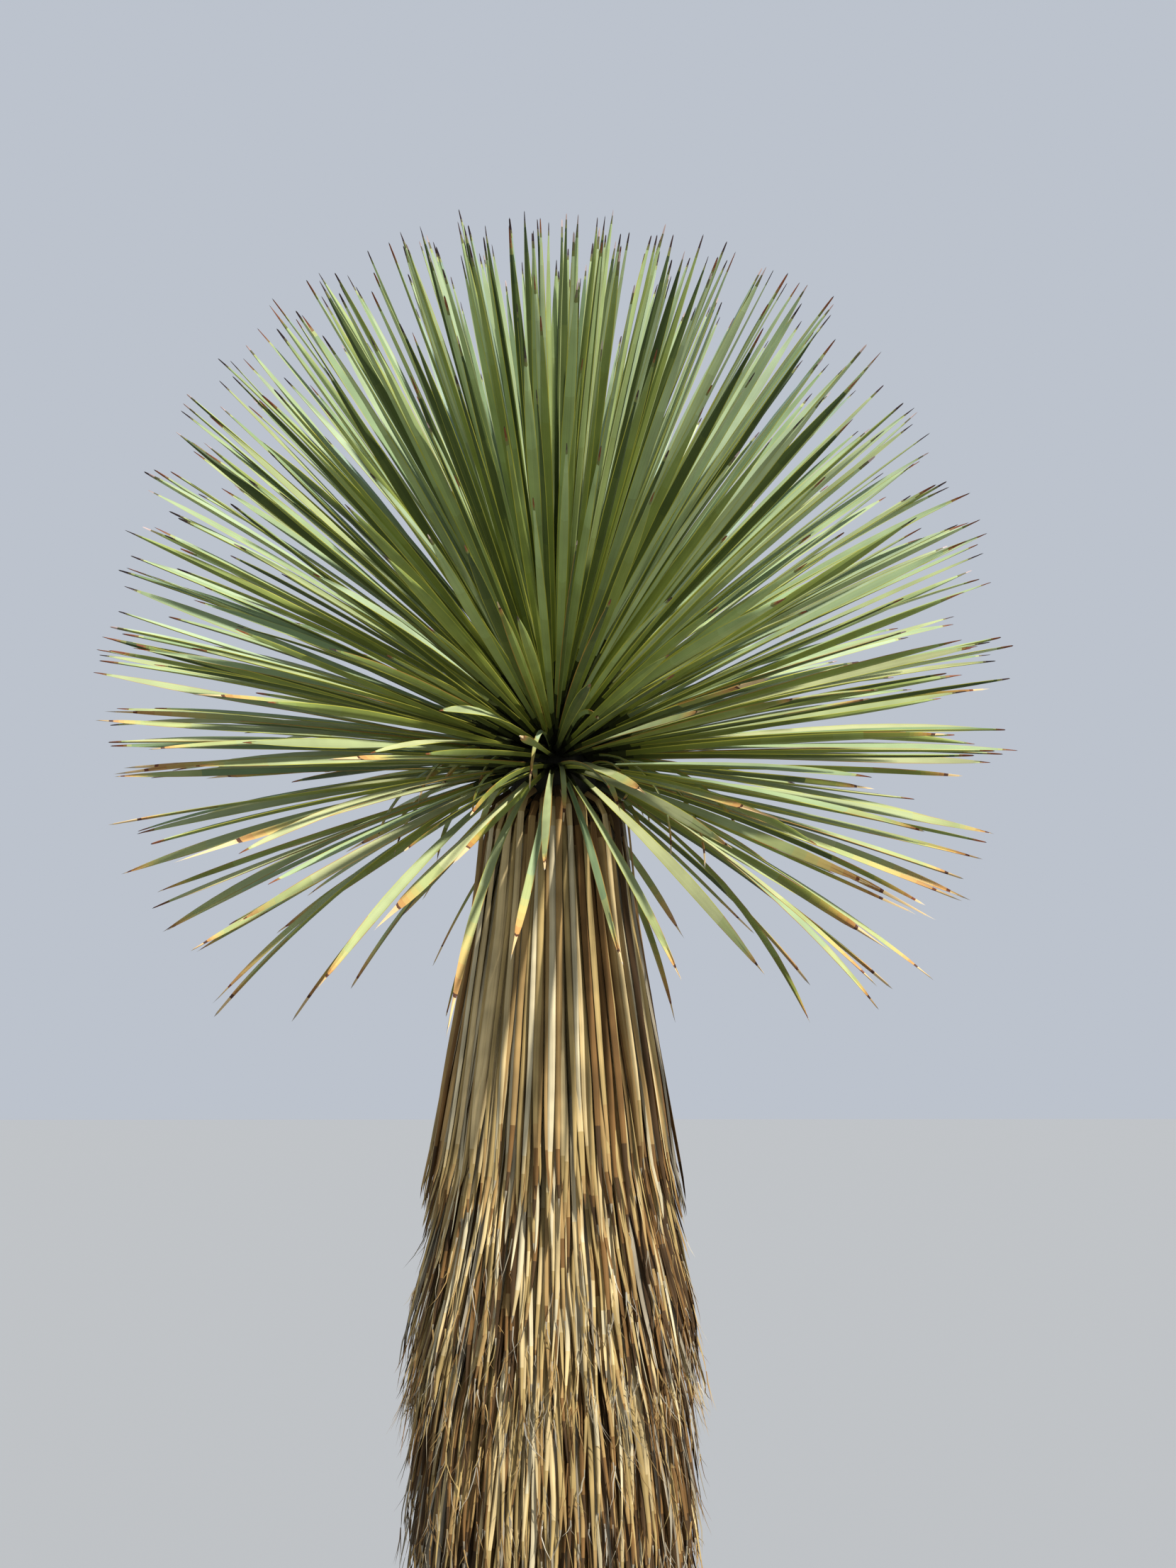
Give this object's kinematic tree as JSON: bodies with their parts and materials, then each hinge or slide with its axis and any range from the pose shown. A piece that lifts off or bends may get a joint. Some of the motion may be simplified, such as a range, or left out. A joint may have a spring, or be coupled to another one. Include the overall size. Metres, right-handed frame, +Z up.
{
  "type": "beaked yucca",
  "caption": "Upright single-trunk yucca: a ball of stiff narrow blades with sharp tips, over a trunk wrapped in a hanging skirt of dead straw leaves.",
  "frame": {"origin": "middle of the flat cut under the trunk, at ground level", "axes": "+Z up along the trunk; the side seen in the picture faces -Y"},
  "size_m": [1.3344, 1.3445, 2.7896],
  "materials": {
    "bark": "rough fissured grey-brown bark",
    "green_blade": "smooth waxy grey-green blade with a thin yellow margin",
    "old_blade": "yellowing blade, tan towards the tip",
    "straw": "dry straw, matt",
    "grey_straw": "weathered grey-brown straw, frayed"
  },
  "bodies": {
    "root": {"trunk": "bark", "crown_tip": "green_blade", "crown_upper_1": "green_blade", "crown_upper_2": "green_blade", "crown_upper_3": "green_blade", "crown_upper_4": "green_blade", "crown_middle_1": "green_blade", "crown_middle_2": "green_blade", "crown_middle_3": "green_blade", "crown_middle_4": "green_blade", "crown_middle_5": "green_blade", "crown_middle_6": "green_blade", "crown_lower_1": "green_blade", "crown_lower_2": "green_blade", "crown_lower_3": "green_blade", "crown_lower_4": "green_blade", "crown_lower_5": "green_blade", "crown_lower_6": "green_blade", "crown_drooping_1": "old_blade", "crown_drooping_2": "old_blade", "crown_drooping_3": "old_blade", "crown_drooping_4": "old_blade", "crown_drooping_5": "old_blade", "crown_drooping_6": "old_blade", "skirt_new_1": "straw", "skirt_new_2": "straw", "skirt_new_3": "straw", "skirt_new_4": "straw", "skirt_new_5": "straw", "skirt_new_6": "straw", "skirt_weathered_1": "straw", "skirt_weathered_2": "straw", "skirt_weathered_3": "straw", "skirt_weathered_4": "straw", "skirt_weathered_5": "straw", "skirt_weathered_6": "straw", "skirt_old_1": "grey_straw", "skirt_old_2": "grey_straw", "skirt_old_3": "grey_straw", "skirt_old_4": "grey_straw", "skirt_old_5": "grey_straw", "skirt_old_6": "grey_straw", "skirt_foot_1": "grey_straw", "skirt_foot_2": "grey_straw", "skirt_foot_3": "grey_straw", "skirt_foot_4": "grey_straw", "skirt_foot_5": "grey_straw", "skirt_foot_6": "grey_straw"}
  },
  "joints": []
}
